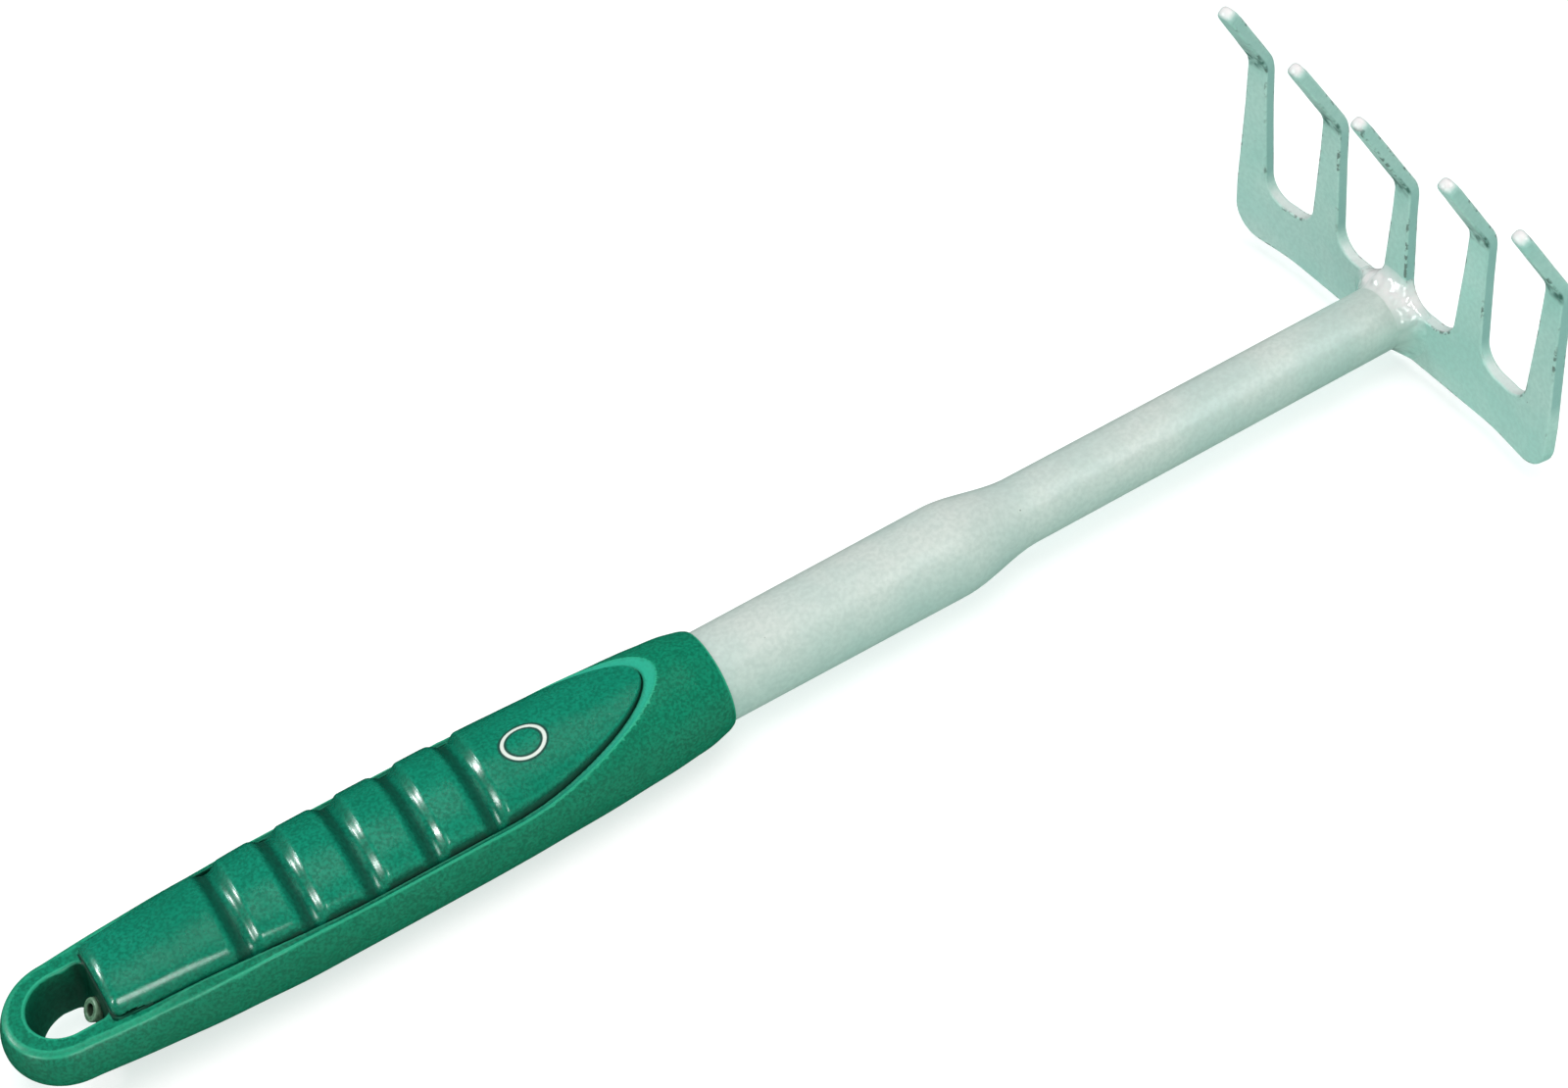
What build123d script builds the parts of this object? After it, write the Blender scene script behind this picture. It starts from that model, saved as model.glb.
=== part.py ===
"""Hand cultivator: five bent tines on a swaged steel tube, with a moulded grip and hang hole.

The shaft runs along X with the head at +X. The tines point up (+Z) and lean back over the
grip. The tool lies on the underside of its grip, and the origin is under its middle.
"""
import os
from math import cos, radians, sin, tan

from build123d import *

os.makedirs("parts", exist_ok=True)

# ---- driving dimensions, in millimetres ----
total_length = 352.4
axis_height = 14.8  # the shaft's axis above the surface that the grip lies on

# head: a comb stamped from plate, its two ends swept towards the grip
plate_thickness = 3.0
blank_reach = 15.0  # how far the comb's cutting shape stands out on each side of the plate
head_half_width = 55.0  # at the lower corners
head_depth = 9.5  # lower edge of the strip below the shaft's axis
slot_level = 5.2  # floor of the four slots above the shaft's axis
tine_pitch = 24.8
wing_start = 36.0  # half width of the flat middle
wing_angle = 7.3
wing_bend_radius = 58.0
lower_corner_radius = 8.0
slot_corner_radius = 6.0
root_level = 30.0  # the tines' straight roots end here, above the axis
tip_angle = 32.5  # lean of the tips from the vertical
inner_bend_radius = 8.0
outer_bend_radius = 11.0

# each tine, from the middle outwards: half width at the slot floor, half width at the root
# level, half width at the end of its tip, height of its bend, height of its end
tine_sizes = [
    (4.2, 2.8, 2.0, 37.6, 65.2),
    (4.8, 3.4, 2.3, 40.2, 62.9),
    (4.8, 3.4, 2.3, 43.4, 65.2),
]

# tube: 22 mm tube swaged down to 16 mm at the head
tube_wall = 1.5
slim_radius = 8.0
wide_radius = 11.0
grip_bore_radius = 10.6
swage_front = 106.0  # distances are measured back from the head plate's front face
swage_back = 127.0
tube_end = 300.0

# weld fillet between tube and plate
weld_on_tube = 5.9
weld_on_plate = 3.8
weld_crown = 0.5

# grip: each station gives the distance back, half width, top height and bottom depth
grip_stations = [
    (187.5, 11.2, 11.2, 11.2),
    (190.0, 12.2, 12.1, 12.2),
    (198.0, 13.5, 13.2, 13.5),
    (210.0, 14.4, 13.9, 14.2),
    (228.0, 15.3, 14.4, 14.7),
    (256.0, 15.9, 14.6, 14.8),
    (282.0, 15.9, 14.4, 14.6),
    (302.0, 15.5, 13.9, 13.4),
    (320.0, 14.7, 12.9, 11.2),
    (336.0, 13.4, 11.8, 8.9),
]
loop_start = 328.6  # where the pad ends and the flat hanging loop begins
loop_top = 6.3  # flat top of the loop above the axis
hole_radius = 7.7
hole_centre = 335.4
hole_wall_top = 329.2  # the hole's inner wall leans: top and bottom edges
hole_wall_bottom = 333.0
hole_corner_radius = 2.0
vent_radius = 1.3
vent_boss_radius = 3.0
vent_boss_end = 332.6

# pad: the raised inlay on the top of the grip
ledge_depth = 1.0
pad_floor_radius = 12.1  # the moulding's core under the pad, round the tube
pad_floor_drop = 304.0  # from here the floor slopes down towards the loop
pad_floor_end = 332.0
pad_floor_end_height = 5.4
pad_side_height = 4.0  # the pad's lower edges, above the axis
nose_shoulder = 245.0  # the outlines' noses are half ellipses as far as this
taper_start = 268.0
# outlines in plan: distance to the nose, widest half width, distance to the end, half width there
rim_outline = (200.0, 14.3, 330.0, 12.0)
pad_outline = (203.0, 13.4, loop_start, 9.9)
groove_first = 244.6
groove_pitch = 13.7
groove_count = 5
groove_ring_radius = 15.9
groove_radius = 2.3

face_x = total_length / 2 - plate_thickness


def cross_plane(distance):
    """Plane across the shaft, at a distance back from the head plate: local x is Y, local y is Z."""
    return Plane(origin=(face_x - distance, 0, axis_height), x_dir=(0, 1, 0), z_dir=(1, 0, 0))


def plan_plane(height):
    """Level plane above the shaft's axis, with its origin over the head plate's front face."""
    return Plane(origin=(face_x, 0, axis_height + height))


shaft_plane = Plane(origin=(face_x, 0, axis_height), x_dir=(1, 0, 0), z_dir=(0, -1, 0))
shaft_axis = Axis((face_x, 0, axis_height), (1, 0, 0))

# ---- shaft_tube: one revolved wall, slim at the head, wide up to the grip ----
grip_mouth = grip_stations[0][0]

with BuildPart() as shaft_tube:
    with BuildSketch(shaft_plane):
        for inset, mode in ((0, Mode.ADD), (tube_wall, Mode.SUBTRACT)):
            with BuildLine():
                Line((0, 0), (0, slim_radius - inset))
                Line((0, slim_radius - inset), (-swage_front, slim_radius - inset))
                Spline(
                    (-swage_front, slim_radius - inset), (-swage_back, wide_radius - inset),
                    tangents=((-1, 0), (-1, 0)),
                )
                Line((-swage_back, wide_radius - inset), (-grip_mouth, grip_bore_radius - inset))
                Line((-grip_mouth, grip_bore_radius - inset), (-tube_end, grip_bore_radius - inset))
                Line((-tube_end, grip_bore_radius - inset), (-tube_end, 0))
                Line((-tube_end, 0), (0, 0))
            make_face(mode=mode)
    revolve(axis=shaft_axis)

# ---- tine_head: a bent plate cut to the comb's outline, with the tine tips added ----
with BuildPart() as comb_prism:
    with BuildSketch(cross_plane(0)) as comb_outline:
        upper_corner = 2 * tine_pitch + tine_sizes[2][0]
        with BuildLine():
            Polyline(
                (-head_half_width, 0), (-head_half_width, -head_depth), (head_half_width, -head_depth),
                (head_half_width, 0), (upper_corner, slot_level), (-upper_corner, slot_level), close=True,
            )
        make_face()
        fillet(comb_outline.vertices().group_by(Axis.Y)[0], lower_corner_radius)
        for index in range(-2, 3):
            base, root = tine_sizes[abs(index)][:2]
            middle = index * tine_pitch
            with BuildLine():
                Polyline(
                    (middle - base, slot_level), (middle + base, slot_level),
                    (middle + root, root_level), (middle - root, root_level), close=True,
                )
            make_face()
        slot_corners = [v for v in comb_outline.vertices() if abs(v.Y - slot_level) < 0.01]
        fillet([v for v in slot_corners if abs(v.X) < 2 * tine_pitch], slot_corner_radius)
    extrude(amount=blank_reach, both=True)

wing_slope = tan(radians(wing_angle))


def wing_setback(across):
    """How far the plate's front face lies towards the grip, at a distance from the middle."""
    return max(abs(across) - wing_start, 0) * wing_slope


tine_tips = []
for index in range(-2, 3):
    root, tip, bend_height, end_height = tine_sizes[abs(index)][1:]
    middle = index * tine_pitch
    turn = radians(wing_angle) * (index > 1) - radians(wing_angle) * (index < -1)
    side_plane = Plane(
        origin=(face_x - wing_setback(middle), middle, axis_height),
        x_dir=(cos(turn), sin(turn), 0), z_dir=(sin(turn), -cos(turn), 0),
    )
    lean = radians(tip_angle)
    reach = end_height - bend_height
    back_bend = bend_height + plate_thickness * tan(lean / 2)
    with BuildPart() as tine_tip:
        with BuildSketch(side_plane) as side:
            with BuildLine():
                Polyline(
                    (0, root_level), (0, bend_height), (-reach * sin(lean) * 2, bend_height + reach * cos(lean) * 2),
                    (plate_thickness * cos(lean) - reach * sin(lean) * 2,
                     bend_height + reach * cos(lean) * 2 + plate_thickness * sin(lean)),
                    (plate_thickness, back_bend), (plate_thickness, root_level), close=True,
                )
            make_face()
            fillet([v for v in side.vertices() if abs(v.Y - bend_height) < 0.01], inner_bend_radius)
            fillet([v for v in side.vertices() if abs(v.Y - back_bend) < 0.01], outer_bend_radius)
        extrude(amount=tine_pitch / 3, both=True)
        with BuildSketch(cross_plane(0)):
            with BuildLine():
                Line((middle - root, root_level), (middle + root, root_level))
                Line((middle + root, root_level), (middle + tip, end_height - tip))
                ThreePointArc((middle + tip, end_height - tip), (middle, end_height), (middle - tip, end_height - tip))
                Line((middle - tip, end_height - tip), (middle - root, root_level))
            make_face()
        extrude(amount=2 * reach, both=True, mode=Mode.INTERSECT)
    tine_tips.append(tine_tip.part)

with BuildPart() as tine_head:
    with BuildSketch(plan_plane(-head_depth - 1)) as plan:
        reach = head_half_width + plate_thickness
        back_start = wing_start + plate_thickness * tan(radians(wing_angle / 2))
        front_half = [(0, wing_start), (-wing_setback(reach), reach)]
        back_half = [(plate_thickness - (reach - back_start) * wing_slope, reach), (plate_thickness, back_start)]
        half = front_half + back_half
        with BuildLine():
            Polyline(*half, *[(x, -y) for x, y in reversed(half)], close=True)
        make_face()
        fillet([v for v in plan.vertices() if abs(v.X) < 0.01], wing_bend_radius)
        fillet([v for v in plan.vertices() if abs(v.X - plate_thickness) < 0.01], wing_bend_radius + plate_thickness)
    extrude(amount=root_level + head_depth + 1)
    add(comb_prism.part, mode=Mode.INTERSECT)
    add(tine_tips)

# ---- weld_bead: a crowned fillet round the tube, as far as the plate reaches ----
with BuildPart() as weld_bead:
    with BuildSketch(shaft_plane):
        with BuildLine():
            Line((0, slim_radius), (0, slim_radius + weld_on_plate))
            ThreePointArc(
                (0, slim_radius + weld_on_plate),
                (-weld_on_tube / 2 - weld_crown, slim_radius + weld_on_plate / 2 + weld_crown),
                (-weld_on_tube, slim_radius),
            )
            Line((-weld_on_tube, slim_radius), (0, slim_radius))
        make_face()
    revolve(axis=shaft_axis)
    add(comb_prism.part, mode=Mode.INTERSECT)


# ---- forms that the grip and its pad are cut from ----
def oval_loft(stations, inset=0.0):
    """Solid through ovals across the shaft, whose upper and lower halves differ in height."""
    with BuildPart() as form:
        for distance, half_width, top, bottom in stations:
            with BuildSketch(cross_plane(distance)):
                with BuildLine():
                    EllipticalCenterArc((0, 0), half_width - inset, top - inset, 0, arc_size=180)
                    EllipticalCenterArc((0, 0), half_width - inset, bottom - inset, 180, arc_size=180)
                make_face()
        loft()
    return form.part


ledge_form = oval_loft(grip_stations, ledge_depth)

with BuildPart() as grip_form:
    add(oval_loft(grip_stations))
    dome_distance, dome_radius, dome_top, dome_bottom = grip_stations[-1]
    with BuildSketch(cross_plane(dome_distance)):
        with BuildLine():
            EllipticalCenterArc((0, 0), dome_radius, dome_top, 0, arc_size=90)
            EllipticalCenterArc((0, 0), dome_radius, dome_bottom, 270, arc_size=90)
            Line((0, dome_top), (0, -dome_bottom))
        make_face()
    revolve(axis=Axis((face_x - dome_distance, 0, axis_height), (0, 0, 1)), revolution_arc=180)


def plan_prism(nose, widest, end, end_width):
    """Upright solid whose plan is a rounded nose, parallel sides and a tapered end."""
    with BuildPart() as prism:
        with BuildSketch(plan_plane(pad_side_height)):
            with BuildLine():
                EllipticalCenterArc((-nose_shoulder, 0), nose_shoulder - nose, widest, 0, arc_size=90)
                side = Line((-nose_shoulder, widest), (-taper_start, widest))
                taper = TangentArc(side @ 1, (-end, end_width), tangent=side % 1)
                Line(taper @ 1, (-end, 0))
                mirror(about=Plane.XZ)
            make_face()
        extrude(amount=2 * wide_radius)
    return prism.part


# the moulding's core under the pad: round the tube, with a floor that slopes to the loop
with BuildPart() as pad_floor:
    with BuildSketch(cross_plane(pad_floor_end)):
        Circle(pad_floor_radius)
    extrude(amount=pad_floor_end - grip_mouth)
    with BuildSketch(shaft_plane):
        with BuildLine():
            Polyline(
                (-pad_floor_drop, pad_floor_radius), (-pad_floor_end, pad_floor_end_height),
                (-pad_floor_end, pad_floor_radius), close=True,
            )
        make_face()
    extrude(amount=pad_floor_radius, both=True, mode=Mode.SUBTRACT)

with BuildPart() as pad_pocket:
    add(plan_prism(*pad_outline))
    add(pad_floor.part, mode=Mode.SUBTRACT)

with BuildPart() as ledge_cut:
    add(plan_prism(*rim_outline))
    add(ledge_form, mode=Mode.SUBTRACT)

# ---- grip_pad: the raised inlay with its finger grooves ----
with BuildPart() as grip_pad:
    add(grip_form.part)
    add(pad_pocket.part, mode=Mode.INTERSECT)
    for count in range(groove_count):
        groove_distance = groove_first + count * groove_pitch
        with BuildSketch(shaft_plane):
            with Locations((-groove_distance, groove_ring_radius)):
                Circle(groove_radius)
        revolve(axis=shaft_axis, mode=Mode.SUBTRACT)

# ---- leaning wall of the hang hole, inside the grip's outer surface ----
with BuildPart() as hole_wedge:
    with BuildSketch(shaft_plane):
        with BuildLine():
            Polyline(
                (-hole_wall_top, loop_top), (-hole_wall_bottom, -axis_height),
                (-hole_wall_top, -axis_height), close=True,
            )
        make_face()
    extrude(amount=hole_radius, both=True)
    add(grip_form.part, mode=Mode.INTERSECT)

# ---- handle_body: the moulded grip, bored for the tube, with the hanging loop ----
with BuildPart() as handle_body:
    add(grip_form.part)
    add(ledge_cut.part, mode=Mode.SUBTRACT)
    add(pad_pocket.part, mode=Mode.SUBTRACT)
    with BuildSketch(plan_plane(loop_top)):
        with Locations((-loop_start - 2 * dome_radius, 0)):
            Rectangle(4 * dome_radius, 4 * dome_radius)
    extrude(amount=dome_radius, mode=Mode.SUBTRACT)
    # bore for the tube
    with BuildSketch(cross_plane(tube_end)):
        Circle(grip_bore_radius)
    extrude(amount=tube_end - grip_mouth, mode=Mode.SUBTRACT)
    # hang hole: rounded at the far end, with a leaning wall at the pad
    with BuildSketch(plan_plane(-axis_height)) as hole_outline:
        with Locations((-hole_centre, 0)):
            Circle(hole_radius)
        with Locations(((-hole_centre - hole_wall_top) / 2, 0)):
            Rectangle(hole_centre - hole_wall_top, 2 * hole_radius)
        fillet(hole_outline.vertices().group_by(Axis.X)[-1], hole_corner_radius)
    extrude(amount=2 * axis_height, mode=Mode.SUBTRACT)
    add(hole_wedge.part)
    # raised ring in the leaning wall, and the air vent through it from the end of the bore
    with BuildSketch(cross_plane(vent_boss_end)):
        Circle(vent_boss_radius)
    extrude(amount=vent_boss_end - hole_wall_top)
    with BuildSketch(cross_plane(hole_centre)):
        Circle(vent_radius)
    extrude(amount=hole_centre - tube_end, mode=Mode.SUBTRACT)

for name, builder in {
    "tine_head": tine_head,
    "weld_bead": weld_bead,
    "shaft_tube": shaft_tube,
    "handle_body": handle_body,
    "grip_pad": grip_pad,
}.items():
    builder.part.label = name
    export_step(builder.part, f"parts/{name}.step")
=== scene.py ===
"""Hand cultivator: the looks of its painted head, weld, swaged tube and moulded green grip.

Shapes are worked out in millimetres about the shaft: x is 0 at the grip side of the head's plate
and grows away from the grip, y is across the head and z is up from the shaft's axis. Each curved
piece is a field, negative inside the material, and its mesh is settled onto the field's surface.
"""
from math import cos, pi, radians, sin, tan

import bpy
import numpy as np
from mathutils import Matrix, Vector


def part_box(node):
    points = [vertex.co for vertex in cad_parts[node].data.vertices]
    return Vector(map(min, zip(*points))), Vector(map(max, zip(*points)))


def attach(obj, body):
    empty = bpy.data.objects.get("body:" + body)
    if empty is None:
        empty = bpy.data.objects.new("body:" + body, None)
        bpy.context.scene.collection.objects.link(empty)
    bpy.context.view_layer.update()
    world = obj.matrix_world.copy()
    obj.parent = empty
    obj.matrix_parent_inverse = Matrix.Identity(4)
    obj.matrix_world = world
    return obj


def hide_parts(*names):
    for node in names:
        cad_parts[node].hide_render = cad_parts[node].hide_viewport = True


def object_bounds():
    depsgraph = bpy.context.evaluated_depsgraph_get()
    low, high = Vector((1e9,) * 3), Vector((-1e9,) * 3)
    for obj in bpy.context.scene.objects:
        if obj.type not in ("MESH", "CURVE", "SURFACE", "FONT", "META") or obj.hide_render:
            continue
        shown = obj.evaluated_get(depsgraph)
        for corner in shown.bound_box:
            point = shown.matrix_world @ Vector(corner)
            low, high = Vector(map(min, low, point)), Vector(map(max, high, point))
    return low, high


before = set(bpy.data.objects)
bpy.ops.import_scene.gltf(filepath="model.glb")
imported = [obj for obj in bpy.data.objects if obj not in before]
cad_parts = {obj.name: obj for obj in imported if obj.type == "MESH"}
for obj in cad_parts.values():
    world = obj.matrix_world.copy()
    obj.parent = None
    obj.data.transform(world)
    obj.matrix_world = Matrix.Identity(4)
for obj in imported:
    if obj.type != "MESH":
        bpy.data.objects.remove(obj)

import openvdb
from mathutils import Matrix, Vector

cad_low, cad_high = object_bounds()
tube_low, tube_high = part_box("shaft_tube")
MM = 0.001
# the shaft's axis where it meets the head's plate
origin = np.array([tube_high[0], 0.0, (tube_low[2] + tube_high[2]) / 2])

# ---- driving sizes, in millimetres ----
plate = 3.0  # the head's thickness
plate_edge = 0.5  # rounding of its painted edges
tip_edge = 1.35  # rounding at the tines' ends
head_half_width = 54.6
head_depth = 9.5
lower_corner = 8.0
slot_level = 5.2
slot_corner = 6.0
root_level = 30.0
tine_pitch = 24.8
lean = radians(32.5)  # how far the tines' ends bend back over the grip
bend_radius = 8.0  # on the side towards the grip
wing_start = 32.3  # from the middle to where the head's two ends are swept towards the grip
wing_radius = 58.0
wing_turn = radians(7.3)
# middle, inner and outer tines: half width at the slot floor, at the root and at the tip,
# height of the bend and of the end
tine_sizes = [
    (4.2, 2.8, 2.0, 37.6, 65.2),
    (4.8, 3.4, 2.3, 40.2, 62.9),
    (4.8, 3.4, 2.3, 43.4, 65.2),
]

slim = 8.0  # the tube's outer radius at the head
wide = 11.0  # and behind the swage
grip_bore = 10.6
tube_wall = 1.5
swage_front = 106.0
swage_back = 127.0
tube_end = 300.0

# lumps of weld metal: place and radius
weld_blobs = [
    (-0.7, 0.4, 8.3, 1.5), (0.6, -3.0, 7.4, 1.2), (-1.5, 3.1, 7.9, 1.3), (1.2, 5.4, 5.4, 1.1),
    (-2.6, 0.2, 7.8, 0.9), (1.2, -5.8, 5.2, 1.2), (-1.2, -5.2, 6.4, 1.2), (-1.6, 6.8, 5.4, 1.3),
    (1.0, 8.4, 4.8, 0.9), (-0.9, -7.6, 4.2, 1.2), (-2.2, -3.2, 7.4, 0.9), (0.9, 2.6, 7.2, 1.2),
    (-0.8, 8.6, 2.2, 1.1),
]
weld_fillet = 5.4
weld_sunk = 0.06  # how far the bead starts below the surfaces it joins
weld_length = 7.5  # where the bead is cut off along the tube, and round it
weld_radius = 13.5

grip_mouth = 187.5
dome_start = 336.0
loop_start = 328.6
loop_top = 6.3
level_start = 290.0  # where the rim starts to level out, and where it is as flat as the loop
level_end = 322.0
# distance back, half width, top and bottom of the grip's ovals
grip_stations = np.array([
    (187.5, 11.2, 11.2, 11.2), (190.0, 12.2, 12.1, 12.2), (198.0, 13.5, 13.2, 13.5),
    (210.0, 14.4, 13.9, 14.2), (228.0, 15.3, 14.4, 14.7), (256.0, 15.9, 14.6, 14.8),
    (282.0, 15.9, 14.4, 14.6), (302.0, 15.5, 13.9, 13.4), (320.0, 14.7, 12.9, 11.2),
    (336.0, 13.4, 11.8, 8.9),
])
# plan outlines: nose, widest half width, end and half width there
rim_outline = (199.6, 14.6, 340.0, 12.6)
pad_outline = (203.0, 13.4, loop_start, 9.9)
nose_shoulder = 245.0
taper_start = 268.0
# rounding of those outlines' ends, in plan
rim_corner = 1.0
pocket_corner = 1.2
pad_corner = 2.2
# sunk ledge round the pad: distance back and depth
ledge_depths = ([204.0, 240.0, 290.0, 320.0], [1.0, 1.1, 1.1, 0.0])
# rounding of the pad's upper edge: distance back and radius
pad_shoulders = ([203.0, 240.0, 290.0, 312.0], [0.5, 0.8, 1.2, 2.6])
pad_gap = 0.22  # between the pad's wall and its pocket, each side
pocket_radius = 12.1  # of the moulding that the pad lies on
pocket_bottom = 4.0
pocket_fall_start = 304.0
pocket_fall = 0.24
hole_back = 335.4  # centre of the hang hole's round end
hole_radius = 7.7
hole_wall = 328.4  # its wall on the pad's side, at the loop's top
hole_lean = 0.2
vent_back = 330.5
vent_height = -0.3
vent_lean = radians(38)
vent_ring = 1.85  # middle radius of the ring's wall
vent_half_wall = 0.65
vent_half_length = 1.3
vent_bore = 1.2
groove_first = 244.6
groove_pitch = 13.7
groove_count = 5
groove_radius = 2.6
groove_centre = 0.95  # above the pad's surface
# the printed ring: distance back, across, half length and half width
ring_oval = (232.0, -2.6, 4.6, 3.6)


# ---- fields ----
def round_max(a, b, radius):
    """What two fields share, with the edge between them rounded."""
    corner = np.hypot(np.maximum(a + radius, 0), np.maximum(b + radius, 0))
    return np.minimum(np.maximum(a, b), -radius) + corner


def round_min(a, b, radius):
    """Two fields joined, with a fillet of that radius in the corner between them."""
    return -round_max(-a, -b, radius)


def oval(across, up, half_width, height):
    """Distance from an oval, near enough close to its line."""
    k = np.hypot(across / half_width, up / height)
    slope = np.hypot(across / half_width ** 2, up / height ** 2)
    return k * (k - 1) / np.maximum(slope, 1e-9)


def smooth_table(x, knots, values):
    """A smooth curve through a table, with no overshoot between its points."""
    step = np.diff(knots)
    rise = np.diff(values) / step
    slope = np.zeros(len(knots))
    same = rise[1:] * rise[:-1] > 0
    mean = np.where(same, 2 * rise[1:] * rise[:-1] / np.where(same, rise[1:] + rise[:-1], 1), 0)
    slope[1:-1] = mean
    slope[0], slope[-1] = rise[0], rise[-1]
    x = np.clip(x, knots[0], knots[-1])
    i = np.clip(np.searchsorted(knots, x) - 1, 0, len(step) - 1)
    t = (x - knots[i]) / step[i]
    a = values[i] + t * step[i] * slope[i]
    b = values[i + 1] - (1 - t) * step[i] * slope[i + 1]
    s = t * t * (3 - 2 * t)
    return a * (1 - s) + b * s


def tine_profile(row):
    """Where a row's tine bends and ends, measured along the flat sheet."""
    bend_height, end_height = tine_sizes[row][3:]
    start = bend_height - bend_radius * tan(lean / 2)
    arc = (bend_radius + plate / 2) * lean
    rest = (end_height - start - (bend_radius + plate) * sin(lean)) / cos(lean)
    return start, start + arc + rest


def flat_across(across):
    """Place across the flat sheet of what ends up at that distance across the bent head."""
    arc = (wing_radius + plate / 2) * wing_turn
    beyond = wing_start + arc + (across - wing_start - wing_radius * sin(wing_turn)) / cos(wing_turn)
    return beyond if across > wing_start + wing_radius * sin(wing_turn) else across


rows = range(len(tine_sizes))
tine_places = [flat_across(row * tine_pitch) for row in rows]
bend_starts, tine_ends = np.array([tine_profile(row) for row in rows]).T


def tine_half_width(row, up):
    return np.interp(up, [slot_level, root_level, tine_ends[row]], tine_sizes[row][:3])


def comb_outline(across, up):
    """The stamped sheet's outline before bending."""
    y = np.abs(across)
    last = rows[-1]
    outer = tine_places[last] + tine_half_width(last, up)
    wing = flat_across(head_half_width) - tine_places[last] - tine_sizes[last][0]
    side = y - outer - wing * np.interp(up, [0, tine_sizes[last][3]], [1, 0])
    shape = round_max(side, -head_depth - up, lower_corner)
    for row in range(last):
        left = tine_places[row] + tine_half_width(row, up) - y
        right = y - tine_places[row + 1] + tine_half_width(row + 1, up)
        slot = round_max(np.maximum(left, right), slot_level - up, slot_corner)
        shape = np.maximum(shape, -slot)
    for row in rows:
        own = np.abs(y - tine_places[row]) < tine_pitch / 2
        tip = tine_sizes[row][2]
        capped = round_max(shape, up - tine_ends[row], tip * 0.98)
        shape = np.where(own, capped, shape)
    return shape


def tine_row(across):
    """Which row of tine_sizes is nearest."""
    return np.clip(np.rint(np.abs(across) / tine_pitch), 0, rows[-1]).astype(int)


def head_field(p):
    x, y, z = p.T
    edge = np.interp(tine_ends[tine_row(y)] - z, [0, 3.5], [tip_edge, plate_edge])
    return round_max(comb_outline(y, z), np.abs(x - plate / 2) - plate / 2, edge)


def head_crease_shade(p):
    """Painted shade: 1 in the inner crease of each tine's bend, fading along the underside of its tip.
    """
    x, y, z = p.T
    start = bend_starts[tine_row(y)]
    end = tine_ends[tine_row(y)]
    along = np.interp((z - start) / (end - start), [0, 0.08, 0.15, 0.3, 0.75], [0, 0.7, 1, 0.4, 0])
    return along * np.clip(1.0 - (x - 0.35) / 0.5, 0, 1)


def head_painted_highlight(p):
    """Painted highlight: high on the tips' ends and lower on the slots' floors."""
    x, y, z = p.T
    tip = np.clip((z - tine_ends[tine_row(y)] + 1.3) / 1.0, 0, 1)
    within = np.clip((1.25 - np.abs(x - plate / 2)) / 0.3, 0, 1)
    slot = np.clip((slot_level + 3.2 - z) / 2.2, 0, 1) * (z > slot_level - 0.4) * within
    return np.maximum(0.9 * tip, 0.5 * slot * (np.abs(y) < tine_places[2]))


def head_side_shade(p):
    """Painted shade: 1 on the cut sides of the tines."""
    x, y, z = p.T
    beyond_bend = np.clip((z - bend_starts[tine_row(y)]) / 6.0, 0, 1)
    upright = np.clip((z - slot_level - 3.0) / 4.0, 0, 1) * (1 - 0.6 * beyond_bend)
    return upright * np.clip((1.3 - np.abs(x - plate / 2)) / 0.3, 0, 1)


def bend_head(p):
    """Bends points of the flat sheet: each tine's tip back over the grip, then the two wings."""
    x, y, z = p.T.copy()
    side = np.sign(y)
    y = np.abs(y)
    start = bend_starts[tine_row(y)]
    angle = np.clip((z - start) / (bend_radius + plate / 2), 0, lean)
    beyond = np.maximum(z - start - (bend_radius + plate / 2) * lean, 0)
    bent = z > start
    radius = x + bend_radius
    x = np.where(bent, radius * np.cos(angle) - bend_radius - beyond * np.sin(angle), x)
    z = np.where(bent, start + radius * np.sin(angle) + beyond * np.cos(angle), z)
    turn = np.clip((y - wing_start) / (wing_radius + plate / 2), 0, wing_turn)
    beyond = np.maximum(y - wing_start - (wing_radius + plate / 2) * wing_turn, 0)
    swept = y > wing_start
    radius = x + wing_radius
    x = np.where(swept, radius * np.cos(turn) - wing_radius - beyond * np.sin(turn), x)
    y = np.where(swept, wing_start + radius * np.sin(turn) + beyond * np.cos(turn), y)
    return np.stack([x, side * y, z], axis=1)


def weld_painted_highlight(p):
    """Painted highlight: 1 over the bead's top."""
    x, y, z = p.T
    from_corner = np.hypot(np.hypot(y, z) - slim, x)
    return np.clip((z - 2.0) / 5.0, 0, 1) * np.clip(1.6 - from_corner / 4.0, 0, 1)


def weld_tubeward(p):
    """1 where the bead meets the tube, 0 where it meets the plate."""
    x, y, z = p.T
    return np.clip(0.5 + (-x - np.hypot(y, z) + slim) / 5.0, 0, 1)


def weld_field(p):
    """A fillet between tube and plate, lumpy on top where the bead was finished."""
    x, y, z = p.T
    radial = np.hypot(y, z)
    tube = np.maximum(radial - slim, x)
    sheet = head_field(p)
    angle = np.arctan2(z, y)
    on_top = 0.5 + 0.5 * np.sin(angle)
    ripple = np.sin(9 * angle + 2.0 * np.sin(2 * angle)) * np.cos(x * 0.9)
    bead = round_min(tube + weld_sunk, sheet + weld_sunk, weld_fillet)
    corner = np.clip(1 - np.hypot(radial - slim - 1.2, x + 1.2) / 4.0, 0, 1)
    bead = bead - corner * (0.10 + 0.20 * on_top) * (1 + 0.7 * ripple)
    for blob_x, blob_y, blob_z, size in weld_blobs:
        blob = np.sqrt((x - blob_x) ** 2 + (y - blob_y) ** 2 + (z - blob_z) ** 2) - size
        bead = round_min(bead, blob, 1.1)
    inside = np.maximum(-(radial - slim + 0.5), -(sheet + 0.5))
    kept = round_max(bead, x - plate + 0.4, 0.8)
    cut_off = np.maximum(-x - weld_length, radial - weld_radius)
    return np.maximum(np.maximum(inside, kept), cut_off)


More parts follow.
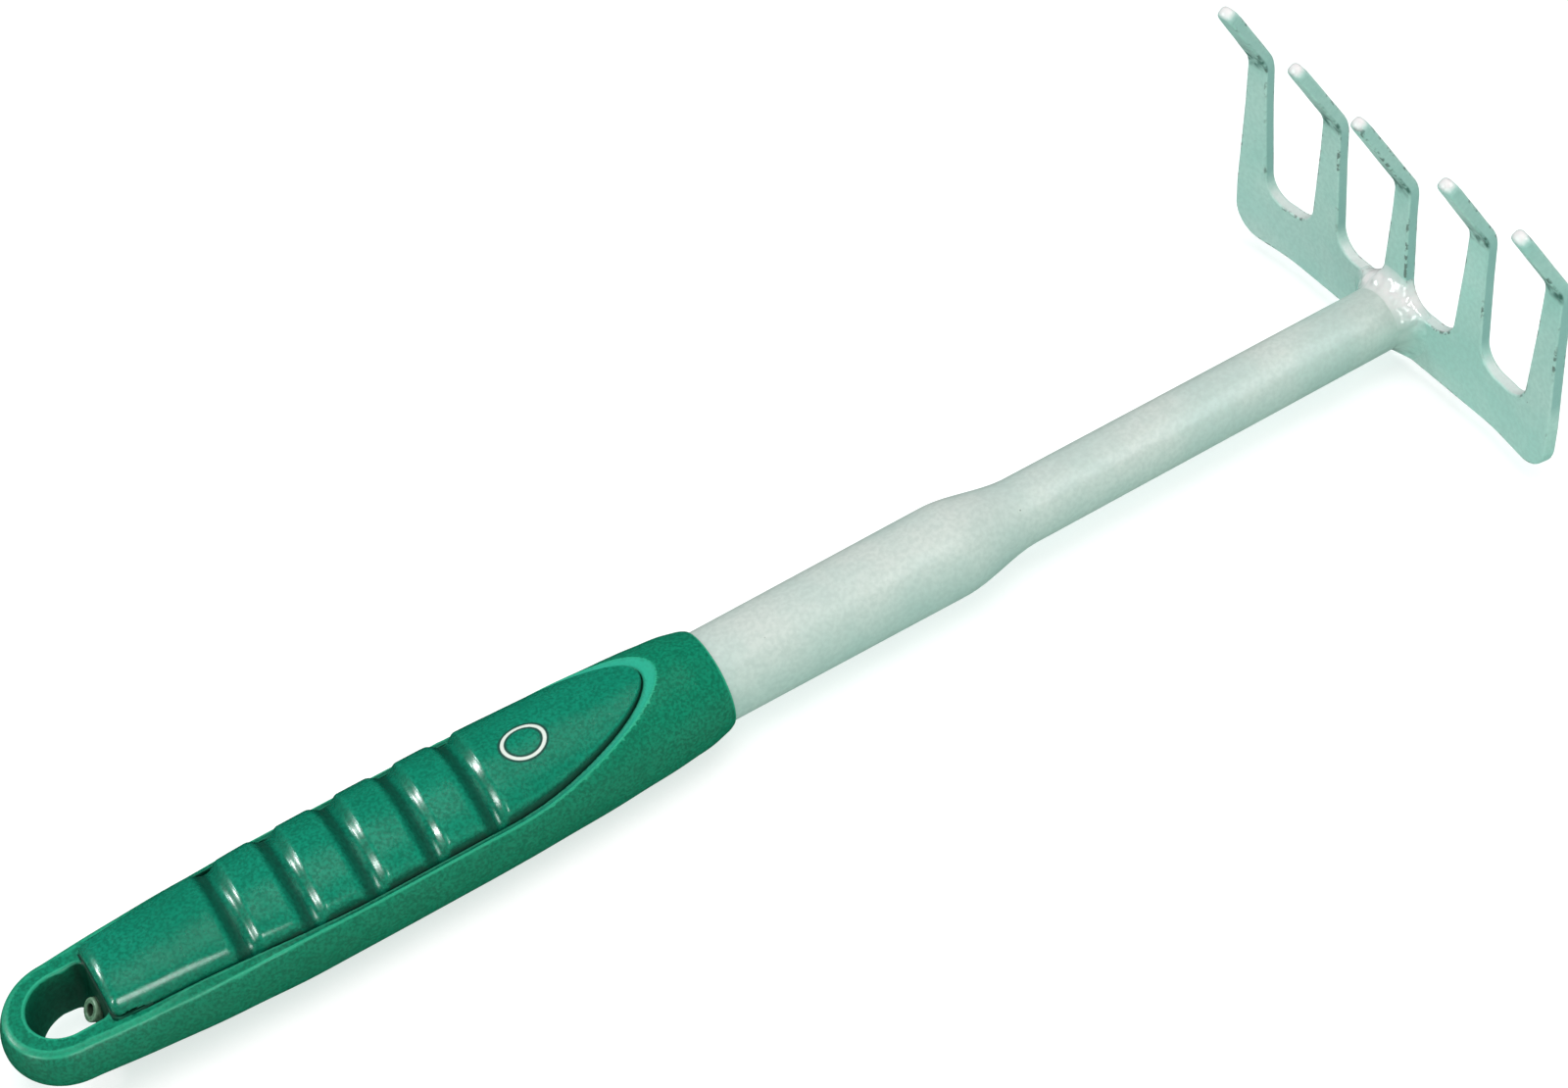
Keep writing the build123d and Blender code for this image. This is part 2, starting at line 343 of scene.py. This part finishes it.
def grip_skin(back, y, z):
    """The grip's outer surface: ovals along the shaft, closed by a dome."""
    half_width, top, bottom = (
        smooth_table(back, grip_stations[:, 0], grip_stations[:, column]) for column in (1, 2, 3)
    )
    across = np.hypot(y, np.maximum(back - dome_start, 0))
    skin = oval(across, z, half_width, np.where(z > 0, top, bottom))
    return round_max(skin, grip_mouth - back, 0.5)


def plan_shape(back, y, outline, corner):
    """Plan outline with a half-oval nose, parallel sides and a tapered end."""
    nose, widest, end, end_width = outline
    y = np.abs(y)
    nose_part = oval(back - nose_shoulder, y, nose_shoulder - nose, widest)
    drop = widest - end_width
    taper_radius = ((end - taper_start) ** 2 + drop ** 2) / (2 * drop)
    beyond = np.maximum(back - taper_start, 0)
    side = y - (widest - beyond ** 2 / (2 * taper_radius))
    return round_max(np.where(back < nose_shoulder, nose_part, side), back - end, corner)


def pocket_floor(back, y, z):
    """The moulding under the pad: round the tube, then sloping down to the loop."""
    slope = z - pocket_radius + np.maximum(back - pocket_fall_start, 0) * pocket_fall
    return np.maximum(np.hypot(y, z) - pocket_radius, slope)


def hole_shape(back, y, z):
    """The hang hole: round at the far end, with a leaning wall at the pad."""
    wall = hole_wall + (loop_top - z) * hole_lean
    around = np.hypot(y, np.maximum(back - hole_back, 0)) - hole_radius
    return round_max(around, wall - back, 2.0)


def vent_place(back, y, z):
    """Distances along and around the axis of the vent's ring, which leans back and up."""
    back, z = back - vent_back, z - vent_height
    along = back * cos(vent_lean) + z * sin(vent_lean)
    return along, np.hypot(y, z * cos(vent_lean) - back * sin(vent_lean))


def handle_field(p):
    x, y, z = p.T
    back = -x
    skin = grip_skin(back, y, z)
    rim = plan_shape(back, y, rim_outline, rim_corner)
    around_pad = plan_shape(back, y, pad_outline, pocket_corner)
    inward = np.clip(-rim / np.maximum(around_pad - rim, 0.4), 0, 1) * (z > 0)
    depth = np.interp(back, *ledge_depths)
    cove = skin + depth * (1 - (1 - inward) ** 2) * inward / (inward + 0.15)
    level = np.interp(back, [level_start, level_end], [0, 1])
    strip = cove + level * level * (round_max(cove, z - loop_top, 0.8) - cove)
    body = np.where(z > 2.0, strip, cove)
    pocket = np.maximum(around_pad, pocket_bottom - z)
    body = round_max(body, np.minimum(-pocket, pocket_floor(back, y, z)), 0.3)
    body = round_max(body, -hole_shape(back, y, z), 0.6)
    bore = np.maximum(np.hypot(y, z) - grip_bore, back - tube_end)
    body = round_max(body, -bore, 0.3)
    along, around = vent_place(back, y, z)
    ring = np.abs(around - vent_ring) - vent_half_wall
    body = np.minimum(body, round_max(ring, np.abs(along) - vent_half_length, 0.3))
    return np.maximum(body, -np.maximum(around - vent_bore, np.abs(along) - 3.0))


def handle_shade(p):
    """1 where grime and shade gather: beside the pad, in the hole and in the vent."""
    x, y, z = p.T
    back = -x
    gap = np.clip(1 - plan_shape(back, y, pad_outline, pocket_corner) / 0.55, 0, 1) * (z > 2)
    wall = np.clip(1 - np.abs(hole_shape(back, y, z)) / 0.7, 0, 1)
    deep = wall * np.interp(loop_top - z, [0.3, 2.5, 9.0], [0, 0.45, 0.7])
    front = np.clip((333.0 - back) / 3.0, 0, 1) * wall * (z < loop_top + 6)
    along, around = vent_place(back, y, z)
    bore = np.clip((1.5 - around) / 0.3, 0, 1) * (np.abs(along) < 3.2)
    return np.maximum(np.maximum(gap, deep), np.maximum(0.8 * front, bore))


def handle_ledge_highlight(p):
    """Painted highlight: 1 on the ledge round the pad's nose."""
    x, y, z = p.T
    back = -x
    rim = plan_shape(back, y, rim_outline, rim_corner)
    around_pad = plan_shape(back, y, pad_outline, pocket_corner)
    on_ledge = np.clip(-rim / 0.5, 0, 1) * np.clip(around_pad / 0.6, 0, 1)
    return np.clip((248.0 - back) / 30.0, 0, 1) * on_ledge * (z > 1.0)


def pad_shade(p):
    """1 on the pad's walls and on the side of each groove that faces the nose."""
    x, y, z = p.T
    back = -x
    plan = plan_shape(back, y, pad_outline, pad_corner) + pad_gap
    shade = np.clip(1 + plan / 0.35, 0, 1)
    sunk = np.clip(-grip_skin(back, y, z) / 1.3, 0, 1)
    for count in range(groove_count):
        away = back - (groove_first + count * groove_pitch)
        side = np.interp(away, [-2.5, -0.5, 0.7, 2.9, 3.7], [0, 0.1, 0.9, 0.8, 0])
        shade = np.maximum(shade, side * np.clip(sunk * 1.6, 0, 1))
    return shade


def pad_field(p):
    x, y, z = p.T
    back = -x
    plan = plan_shape(back, y, pad_outline, pad_corner) + pad_gap
    top = grip_skin(back, y, z)
    grooves = np.full_like(back, -9.0)
    for count in range(groove_count):
        away = back - (groove_first + count * groove_pitch)
        section = groove_radius - np.hypot(away * np.where(away > 0, 0.85, 1.1), top - groove_centre)
        grooves = np.maximum(grooves, section)
    shape = round_max(top, grooves, 1.1)
    shape = round_max(shape, plan, np.interp(back, *pad_shoulders))
    shape = np.maximum(shape, -pocket_floor(back, y, z))
    return np.maximum(shape, pocket_bottom - z)


# ---- meshes ----
def gradient(field, points, reach=0.01):
    slopes = [field(points + step) - field(points - step) for step in reach * np.eye(3)]
    return np.stack(slopes, axis=1) / (2 * reach)


def ridge(field, points, reach=0.25):
    """How sharply the surface turns at each point, per mm: above 0 on edges, below 0 in corners."""
    around = sum(field(points + step) + field(points - step) for step in reach * np.eye(3))
    return (around - 6 * field(points)) / reach ** 2


def sample(field, low, counts, cell):
    """The field on a grid, worked out in slabs along x."""
    values = np.empty(counts, np.float32)
    y, z = (low[i] + cell * np.arange(counts[i]) for i in (1, 2))
    slab = 24
    for start in range(0, counts[0], slab):
        x = low[0] + cell * np.arange(start, min(start + slab, counts[0]))
        grid = np.stack(np.meshgrid(x, y, z, indexing="ij"), axis=-1)
        values[start:start + slab] = field(grid.reshape(-1, 3)).reshape(grid.shape[:3])
    return values


def surface(name, field, low, high, cell, flatness, marked, bend=None):
    """Mesh of a field's surface between two corners, with its normals and values marked on it."""
    low = np.array(low) - 2 * cell
    counts = np.ceil((np.array(high) + 2 * cell - low) / cell).astype(int) + 1
    grid = openvdb.FloatGrid()
    grid.copyFromArray(sample(field, low, counts, cell))
    points, triangles, quads = grid.convertToPolygons(isovalue=0.0, adaptivity=flatness)
    points = points.astype(float) * cell + low
    for _ in range(5):
        slope = gradient(field, points)
        push = field(points) / np.maximum((slope ** 2).sum(axis=1), 0.2)
        points -= np.clip(push, -cell, cell)[:, None] * slope
    normals = gradient(field, points)
    normals /= np.linalg.norm(normals, axis=1)[:, None] + 1e-12
    marks = {"ridge": ridge(field, points)}
    for mark, value in marked.items():
        marks[mark] = value(points)
    faces = [tuple(face) for face in triangles.tolist() + quads.tolist()]
    if bend:
        helper = np.where(np.abs(normals[:, :1]) < 0.7, [[1.0, 0, 0]], [[0, 1.0, 0]])
        first = np.cross(normals, helper)
        second = np.cross(normals, first)
        reach = 0.02
        moved = bend(points)
        along_first = bend(points + reach * first) - moved
        along_second = bend(points + reach * second) - moved
        normals = np.cross(along_first, along_second)
        normals /= np.linalg.norm(normals, axis=1)[:, None] + 1e-12
        points = moved
    return build(name, points, faces, normals, marks)


def build(name, points, faces, normals=None, marks=None):
    """An object from points in millimetres about the shaft."""
    mesh = bpy.data.meshes.new(name)
    mesh.from_pydata((points * MM + origin).tolist(), [], faces)
    mesh.validate()
    mesh.polygons.foreach_set("use_smooth", [True] * len(mesh.polygons))
    if normals is not None:
        mesh.normals_split_custom_set_from_vertices(normals.tolist())
    for mark, values in (marks or {}).items():
        stored = mesh.attributes.new(mark, "FLOAT", "POINT")
        stored.data.foreach_set("value", values.astype(np.float32))
    piece = bpy.data.objects.new(name, mesh)
    bpy.context.scene.collection.objects.link(piece)
    return piece


def tube_radius(back):
    """Outer radius of the tube: slim, swaged up, then easing down to the grip's bore."""
    s = np.clip((back - swage_front) / (swage_back - swage_front), 0, 1)
    swage = slim + (wide - slim) * s * s * (3 - 2 * s)
    ease = (wide - grip_bore) * np.clip((back - swage_back) / (grip_mouth - swage_back), 0, 1)
    return swage - ease


def tube_mesh():
    """The tube's wall turned round its axis: outside from head to end, and back along the bore."""
    backs = np.concatenate([
        np.linspace(0, swage_front, 30, endpoint=False),
        np.linspace(swage_front, swage_back, 40, endpoint=False),
        np.linspace(swage_back, tube_end, 40),
    ])
    outer = np.stack([backs, tube_radius(backs)], axis=1)
    inner = np.stack([backs[::-1], tube_radius(backs[::-1]) - tube_wall], axis=1)
    profile = np.concatenate([outer, inner])
    sides = 128
    turns = np.arange(sides) * 2 * pi / sides
    back, radius = profile[:, :1], profile[:, 1:]
    points = np.stack([
        np.broadcast_to(-back, (len(profile), sides)), radius * np.cos(turns), radius * np.sin(turns),
    ], axis=-1).reshape(-1, 3)
    faces = []
    for ring in range(len(profile)):
        after = (ring + 1) % len(profile)
        for side in range(sides):
            beside = (side + 1) % sides
            near, far = ring * sides, after * sides
            faces.append((near + side, far + side, far + beside, near + beside))
    return build("shaft_tube_turned", points, faces)


# ---- camera ----
view_azimuth = radians(63.36)  # of the line of sight, from +X towards +Y
view_drop = radians(47.39)
view_roll = radians(-7.49)
view_distance = 0.5792
view_offset = Vector((0.0076, 0.0, 0.0030))  # of the photograph's middle from the part's
level_sight = Vector((cos(view_azimuth), sin(view_azimuth), 0))
sight = cos(view_drop) * level_sight - Vector((0, 0, sin(view_drop)))
middle = (Vector(cad_low) + Vector(cad_high)) / 2
aim = middle + view_offset
lens = bpy.data.cameras.new("camera")
lens.sensor_width = 36.0
lens.lens = 63.7
camera = bpy.data.objects.new("camera", lens)
turn = sight.to_track_quat("-Z", "Y").to_matrix().to_4x4() @ Matrix.Rotation(view_roll, 4, "Z")
camera.matrix_world = Matrix.Translation(aim - view_distance * sight) @ turn
bpy.context.scene.collection.objects.link(camera)
bpy.context.scene.camera = camera


# ---- materials ----
# The marks that the fields' functions work out, such as the painted shade in the head's creases, drive
# these through mark().
class Nodes:
    """Short calls for building one material's nodes."""

    def __init__(self, name):
        self.material = bpy.data.materials.new(name)
        self.material.use_nodes = True
        self.tree = self.material.node_tree
        self.shader = self.tree.nodes["Principled BSDF"]
        place = self.tree.nodes.new("ShaderNodeTexCoord")
        self.place = place.outputs["Object"]

    def link(self, value, socket):
        if hasattr(value, "is_output"):
            self.tree.links.new(value, socket)
        else:
            socket.default_value = value

    def noise(self, scale, detail=3.0, roughness=0.5):
        node = self.tree.nodes.new("ShaderNodeTexNoise")
        self.link(self.place, node.inputs["Vector"])
        node.inputs["Scale"].default_value = scale
        node.inputs["Detail"].default_value = detail
        node.inputs["Roughness"].default_value = roughness
        return node.outputs["Fac"]

    def math(self, operation, a, b=0.0, c=0.0):
        node = self.tree.nodes.new("ShaderNodeMath")
        node.operation = operation
        for value, socket in zip((a, b, c), node.inputs):
            self.link(value, socket)
        return node.outputs[0]

    def range(self, value, low, high, to_low=0.0, to_high=1.0):
        node = self.tree.nodes.new("ShaderNodeMapRange")
        names = ("Value", "From Min", "From Max", "To Min", "To Max")
        for given, name in zip((value, low, high, to_low, to_high), names):
            self.link(given, node.inputs[name])
        return node.outputs[0]

    def mix(self, factor, a, b):
        node = self.tree.nodes.new("ShaderNodeMix")
        node.data_type = "RGBA"
        for value, socket in ((factor, node.inputs[0]), (a, node.inputs[6]), (b, node.inputs[7])):
            self.link(value, socket)
        return node.outputs[2]

    def mark(self, name, low, high):
        """0 to 1 as a value stored on the mesh's points goes from low to high."""
        node = self.tree.nodes.new("ShaderNodeAttribute")
        node.attribute_name = name
        return self.range(node.outputs["Fac"], low, high)

    def bump(self, height, strength, distance, normal=None):
        node = self.tree.nodes.new("ShaderNodeBump")
        node.inputs["Strength"].default_value = strength
        node.inputs["Distance"].default_value = distance
        self.link(height, node.inputs["Height"])
        if normal:
            self.link(normal, node.inputs["Normal"])
        return node.outputs[0]

    def specks(self, scale, size, share):
        """1 in scattered round specks, as a share of the cells of that scale."""
        node = self.tree.nodes.new("ShaderNodeTexVoronoi")
        self.link(self.place, node.inputs["Vector"])
        node.inputs["Scale"].default_value = scale
        pick = self.tree.nodes.new("ShaderNodeSeparateColor")
        self.link(node.outputs["Color"], pick.inputs[0])
        near = self.range(node.outputs["Distance"], size, size * 0.6)
        return self.math("MULTIPLY", near, self.math("LESS_THAN", pick.outputs[0], share))


def shaded(colour, factor, lift=0.0):
    """The colour made darker or lighter."""
    return tuple(factor * c + lift for c in colour[:3]) + (1.0,)


# colours that mark the paint, then the plastic
speck_dark = (0.07, 0.11, 0.09, 1.0)
# painted shade for the tines' cut sides
side_shade_colour = (0.22, 0.44, 0.40, 1.0)
tube_side = (0.42, 0.565, 0.51, 1.0)
# painted highlight for the tips, the slots' floors and the weld's top
highlight_pale = (0.72, 0.74, 0.73, 1.0)
# painted shade for the tines' inner creases
crease_shade_colour = (0.03, 0.13, 0.10, 1.0)
# painted highlight for the ledge round the pad's nose
ledge_highlight_green = (0.03, 0.47, 0.31, 1.0)
ring_dark = (0.01, 0.07, 0.05, 1.0)
ring_pale = (0.55, 0.70, 0.62, 1.0)


def paint(name, light, dark, gloss=0.38, lumps=(120.0, 0.3, 0.0002)):
    """Semi-gloss paint: mottling, orange peel, specks and chipped edges, with painted shade in
    corners, creases and on cut sides, and painted highlights.
    """
    n = Nodes(name)
    base = n.mix(n.range(n.noise(55.0), 0.35, 0.65), light, dark)
    fine = n.range(n.noise(900.0, 2.0), 0.36, 0.64)
    base = n.mix(n.math("MULTIPLY", fine, 0.4), base, shaded(dark, 0.80))
    grimy = n.math("MULTIPLY", n.range(n.noise(130.0, 1.0), 0.46, 0.58), n.mark("ridge", 0.2, 1.0))
    chip = n.math("MULTIPLY", n.range(n.noise(800.0, 3.0), 0.5, 0.6), grimy)
    speck = n.math("MAXIMUM", n.specks(130.0, 0.030, 0.45), n.specks(420.0, 0.05, 0.06))
    base = n.mix(n.math("MULTIPLY", n.math("MAXIMUM", speck, chip), 0.8), base, speck_dark)
    # painted shade in corners and creases
    base = n.mix(n.math("MULTIPLY", n.mark("ridge", -0.15, -0.8), 0.5), base, shaded(dark, 0.5))
    # painted shade on the tines' cut sides
    base = n.mix(n.math("MULTIPLY", n.mark("cut", 0.0, 1.0), 0.8), base, side_shade_colour)
    base = n.mix(n.mark("tubeward", 0.0, 1.0), base, tube_side)
    # painted highlight on the tips, the slots' floors and the weld's top
    base = n.mix(n.math("MULTIPLY", n.mark("painted_highlight", 0.0, 1.0), 0.8), base, highlight_pale)
    patches = n.range(n.noise(600.0, 2.0), 0.35, 0.6, 0.1, 0.95)
    # painted shade in the tines' inner creases, in patches
    base = n.mix(n.math("MULTIPLY", n.mark("crease_shade", 0.1, 0.8), patches), base, crease_shade_colour)
    n.link(base, n.shader.inputs["Base Color"])
    n.link(n.range(n.noise(220.0), 0.3, 0.7, gloss - 0.04, gloss + 0.06), n.shader.inputs["Roughness"])
    n.shader.inputs["Specular IOR Level"].default_value = 0.75
    peel = n.bump(n.noise(900.0, 2.0), 0.35, 0.00006)
    lump_scale, lump_strength, lump_height = lumps
    wave = n.bump(n.noise(lump_scale, 1.0), lump_strength, lump_height, peel)
    n.link(wave, n.shader.inputs["Normal"])
    return n.material


def ring_print(n, base, back, across, half_length, half_width):
    """A plain printed oval ring, pale with a thin dark outline, centred at that place on the pad."""
    split = n.tree.nodes.new("ShaderNodeSeparateXYZ")
    n.link(n.place, split.inputs[0])
    centre = origin + MM * np.array([-back, across, 0.0])
    along = n.math("DIVIDE", n.math("SUBTRACT", split.outputs[0], centre[0]), MM * half_length)
    aside = n.math("DIVIDE", n.math("SUBTRACT", split.outputs[1], centre[1]), MM * half_width)
    squares = n.math("ADD", n.math("MULTIPLY", along, along), n.math("MULTIPLY", aside, aside))
    off = n.math("ABSOLUTE", n.math("SUBTRACT", n.math("SQRT", squares), 1.0))
    above = n.math("GREATER_THAN", split.outputs[2], origin[2])
    dark = n.math("MULTIPLY", n.range(off, 0.24, 0.18), above)
    pale = n.math("MULTIPLY", n.range(off, 0.11, 0.06), above)
    return n.mix(pale, n.mix(dark, base, ring_dark), ring_pale)


def moulded(name, light, dark, gloss, shine, edge_wear_and_highlight, bumpy, ring=None):
    """Satin moulded plastic: fine grain and flow marks, edges lightened as wear and as painted
    highlight, a painted highlight on a ledge, and painted shade in crevices and gaps.
    """
    n = Nodes(name)
    base = n.mix(n.range(n.noise(40.0), 0.3, 0.7), light, dark)
    grain = n.noise(1500.0, 2.0)
    for factor, strength, colour in (
        (n.range(grain, 0.38, 0.62), 0.8, shaded(dark, 0.62)),
        # convex edges lightened: wear and painted highlight
        (n.mark("ridge", 0.25, 1.1), edge_wear_and_highlight, shaded(light, 1.8, 0.02)),
        # painted shade in concave corners
        (n.mark("ridge", -0.2, -1.2), 0.7, shaded(dark, 0.3)),
        # painted highlight on the ledge round the pad's nose
        (n.mark("ledge_highlight", 0.0, 1.0), 0.6, ledge_highlight_green),
        # painted shade beside the pad, in the hole, in the vent and in the grooves
        (n.mark("shade", 0.0, 1.0), 0.8, shaded(dark, 0.12)),
    ):
        base = n.mix(n.math("MULTIPLY", factor, strength), base, colour)
    if ring:
        base = ring_print(n, base, *ring)
    n.link(base, n.shader.inputs["Base Color"])
    rough = n.range(n.noise(300.0), 0.3, 0.7, gloss - 0.04, gloss + 0.06)
    matt = n.math("MULTIPLY", n.mark("shade", 0.5, 1.0), 0.6)
    n.link(n.math("MAXIMUM", rough, matt), n.shader.inputs["Roughness"])
    n.shader.inputs["Specular IOR Level"].default_value = shine
    flow = n.bump(n.noise(260.0, 2.0), 0.6 * bumpy, 0.0001)
    n.link(n.bump(grain, bumpy, 0.00005, flow), n.shader.inputs["Normal"])
    return n.material


# One paint in three copies: the tube's is greyer and the head's and the weld's greener, painted light
# and shade for the warm light on the tube and the cooler light on the plate.
steel_paint = paint("painted_steel", (0.46, 0.585, 0.53, 1), (0.39, 0.55, 0.495, 1))
head_paint = paint("painted_head", (0.45, 0.66, 0.59, 1), (0.36, 0.63, 0.555, 1))
weld_paint = paint(
    "painted_weld", (0.45, 0.66, 0.59, 1), (0.36, 0.63, 0.555, 1), 0.2, (420.0, 0.8, 0.0005),
)
grip_plastic = moulded(
    "grip_green", (0.004, 0.228, 0.124, 1), (0.003, 0.190, 0.100, 1), 0.36, 0.3, 0.6, 0.3,
)
vent_plastic = moulded(
    "vent_pale", (0.15, 0.32, 0.20, 1), (0.10, 0.25, 0.14, 1), 0.35, 0.4, 0.3, 0.3,
)
pad_plastic = moulded(
    "pad_green", (0.005, 0.240, 0.142, 1), (0.004, 0.203, 0.116, 1), 0.24, 0.6, 0.1, 0.1,
    ring_oval,
)

# ---- pieces ----
# the head's marks carry painted shade in its creases and on its cut sides, and painted highlights on
# its tips and slots' floors
head = surface(
    "tine_head_plate", head_field,
    (0, -head_half_width - 1, -head_depth), (plate, head_half_width + 1, tine_ends[-1]), 0.35, 0.0,
    {"crease_shade": head_crease_shade, "painted_highlight": head_painted_highlight, "cut": head_side_shade}, bend_head,
)
# the weld's marks carry a painted highlight on its top
weld = surface(
    "weld_bead_lumps", weld_field, (-8, -14, -14), (4, 14, 14), 0.2, 0.0,
    {"painted_highlight": weld_painted_highlight, "tubeward": weld_tubeward},
)
tube = tube_mesh()
# the handle's marks carry painted shade and a painted highlight on the nose ledge
handle = surface(
    "handle_moulding", handle_field, (-350, -16, -15), (-187, 16, 15), 0.3, 0.012,
    {"shade": handle_shade, "ledge_highlight": handle_ledge_highlight},
)
pad = surface(
    "grip_pad_inlay", pad_field, (-329, -14, 4), (-203, 14, 15), 0.22, 0.015,
    {"shade": pad_shade},
)

# the vent's ring takes the paler plastic
middles = np.empty(3 * len(handle.data.polygons))
handle.data.polygons.foreach_get("center", middles)
middles = middles.reshape(-1, 3) / MM - origin / MM
along, around = vent_place(-middles[:, 0], middles[:, 1], middles[:, 2])
in_vent = np.abs(along) < vent_half_length + 0.15
in_vent &= (around < vent_ring + vent_half_wall + 0.1) & (around > vent_bore - 0.1)

for piece, node, slot, material in (
    (head, "tine_head", "painted_steel", head_paint),
    (weld, "weld_bead", "painted_weld", weld_paint),
    (tube, "shaft_tube", "painted_steel", steel_paint),
    (handle, "handle_body", "grip_green", grip_plastic),
    (pad, "grip_pad", "pad_green", pad_plastic),
):
    piece.data.materials.append(material)
    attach(piece, "root")
    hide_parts(node)

handle.data.materials.append(vent_plastic)
handle.data.polygons.foreach_set("material_index", in_vent.astype(np.int32))

# ---- stage and light ----
floor_mesh = bpy.data.meshes.new("floor")
floor_reach = 30.0
corners = [(-1, -1), (1, -1), (1, 1), (-1, 1)]
floor_mesh.from_pydata(
    [(floor_reach * x, floor_reach * y, cad_low[2]) for x, y in corners], [], [(0, 1, 2, 3)],
)
floor = bpy.data.objects.new("floor", floor_mesh)
bpy.context.scene.collection.objects.link(floor)
floor_look = Nodes("pale_floor")
floor_tone = floor_look.mix(floor_look.noise(3.0), (0.33, 0.40, 0.38, 1), (0.35, 0.42, 0.40, 1))
floor_sockets = floor_look.shader.inputs
floor_look.link(floor_tone, floor_sockets["Base Color"])
floor_sockets["Emission Color"].default_value = (1.0, 1.0, 1.0, 1)
floor_sockets["Emission Strength"].default_value = 0.68
floor_sockets["Roughness"].default_value = 0.8
floor_mesh.materials.append(floor_look.material)
floor.visible_glossy = False


def soft_light(name, place, size, power, colour, lights, target=middle, beam=pi):
    """A round lamp aimed at the target, which lights surfaces, mirrors in them or does both."""
    light = bpy.data.lights.new(name, "AREA")
    light.shape = "DISK"
    light.size = size
    light.energy = power
    light.color = colour
    light.spread = beam
    holder = bpy.data.objects.new(name, light)
    holder.location = place
    holder.rotation_euler = (target - Vector(place)).to_track_quat("-Z", "Y").to_euler()
    holder.visible_diffuse = "surfaces" in lights
    holder.visible_glossy = "mirrors" in lights
    holder.visible_camera = False
    bpy.context.scene.collection.objects.link(holder)


# places and sizes in metres, power in watts
white = (1.0, 1.0, 1.0)
front = (0.33, -0.58, 0.90)
weld_place = Vector((0.17, 0, 0.03))
soft_light("overhead", (0.0, -0.10, 1.10), 0.95, 15.2, (1.0, 0.695, 0.745), "surfaces")
soft_light("front", front, 0.28, 1.6, (1.0, 0.90, 0.92), "surfaces")
soft_light("glint_back", (-0.85, 0.45, 0.45), 0.14, 4.0, white, "mirrors")
soft_light("glint_end", (-0.98, -0.20, 0.28), 0.14, 3.0, white, "mirrors")
soft_light("glint_side", (-0.30, -0.75, 0.33), 0.32, 2.4, white, "mirrors")
soft_light("glint_weld", front, 0.22, 0.07, (1.0, 0.95, 0.95), "mirrors", weld_place, radians(12))
soft_light("low_fill", (-0.30, -0.80, 0.10), 0.4, 1.05, (0.1, 1.0, 0.65), "surfaces")
soft_light("key", (-0.75, 0.60, 0.70), 0.16, 2.6, (0.80, 1.0, 0.98), "surfaces and mirrors")

world = bpy.data.worlds.new("studio")
world.use_nodes = True
world.node_tree.nodes["Background"].inputs["Color"].default_value = (0.66, 1.0, 0.97, 1)
world.node_tree.nodes["Background"].inputs["Strength"].default_value = 0.36
world.cycles_visibility.glossy = False
bpy.context.scene.world = world
bpy.context.scene.view_settings.view_transform = "Standard"
